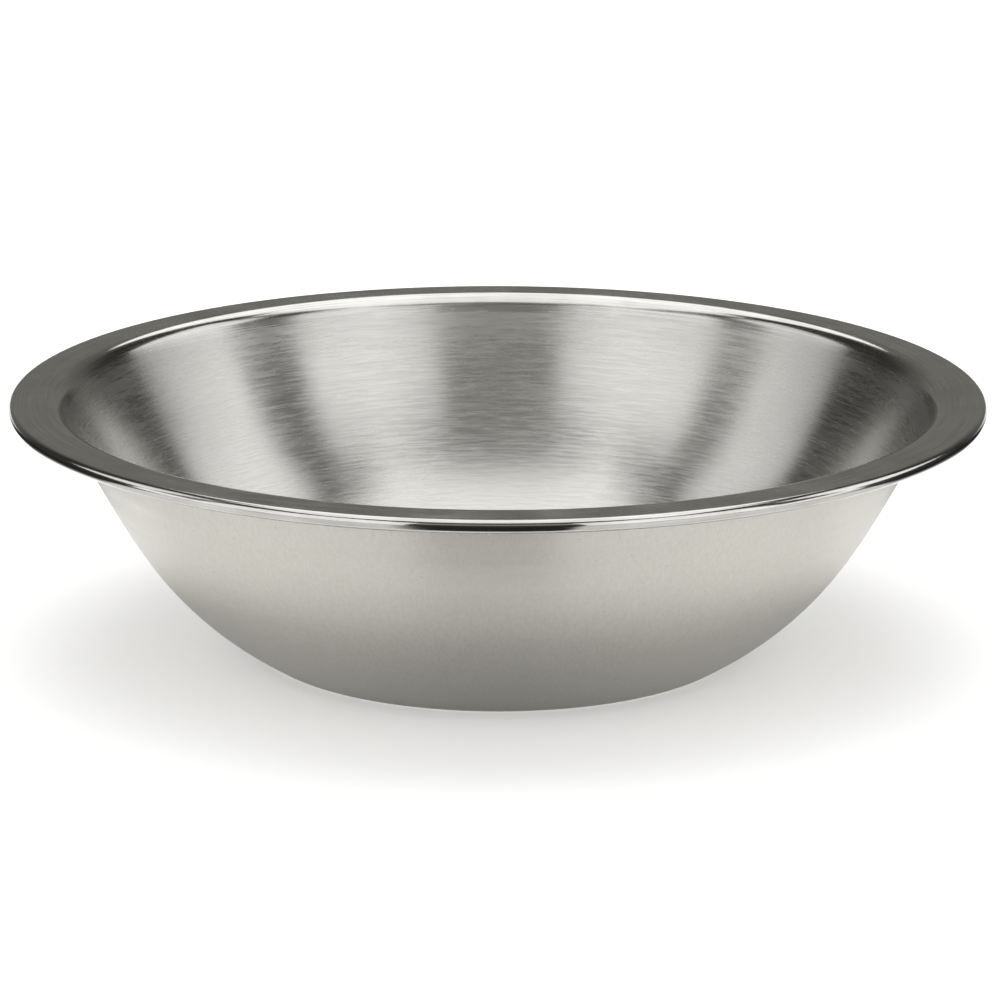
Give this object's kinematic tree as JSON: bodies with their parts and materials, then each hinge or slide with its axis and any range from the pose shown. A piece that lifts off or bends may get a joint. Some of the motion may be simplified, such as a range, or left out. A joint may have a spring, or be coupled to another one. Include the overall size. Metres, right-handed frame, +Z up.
{
  "type": "mixing bowl",
  "caption": "Wide-rimmed stainless steel mixing bowl: flat base, curved flaring wall, rounded shoulder, broad nearly flat rim and an edge rolled under into a bead.",
  "frame": {"origin": "centre of the flat base, on its underside, so the bowl stands on z = 0", "axes": "+Z up along the bowl's axis of revolution, out of its mouth; X and Y are any two square directions in the plane it stands on"},
  "size_m": [0.3, 0.3, 0.08],
  "materials": {
    "stainless_steel": "spun stainless steel: fine circular brushing on the food side, bright polished rim and rolled edge, soft satin outside"
  },
  "bodies": {
    "root": {"bowl": "stainless_steel"}
  },
  "joints": []
}
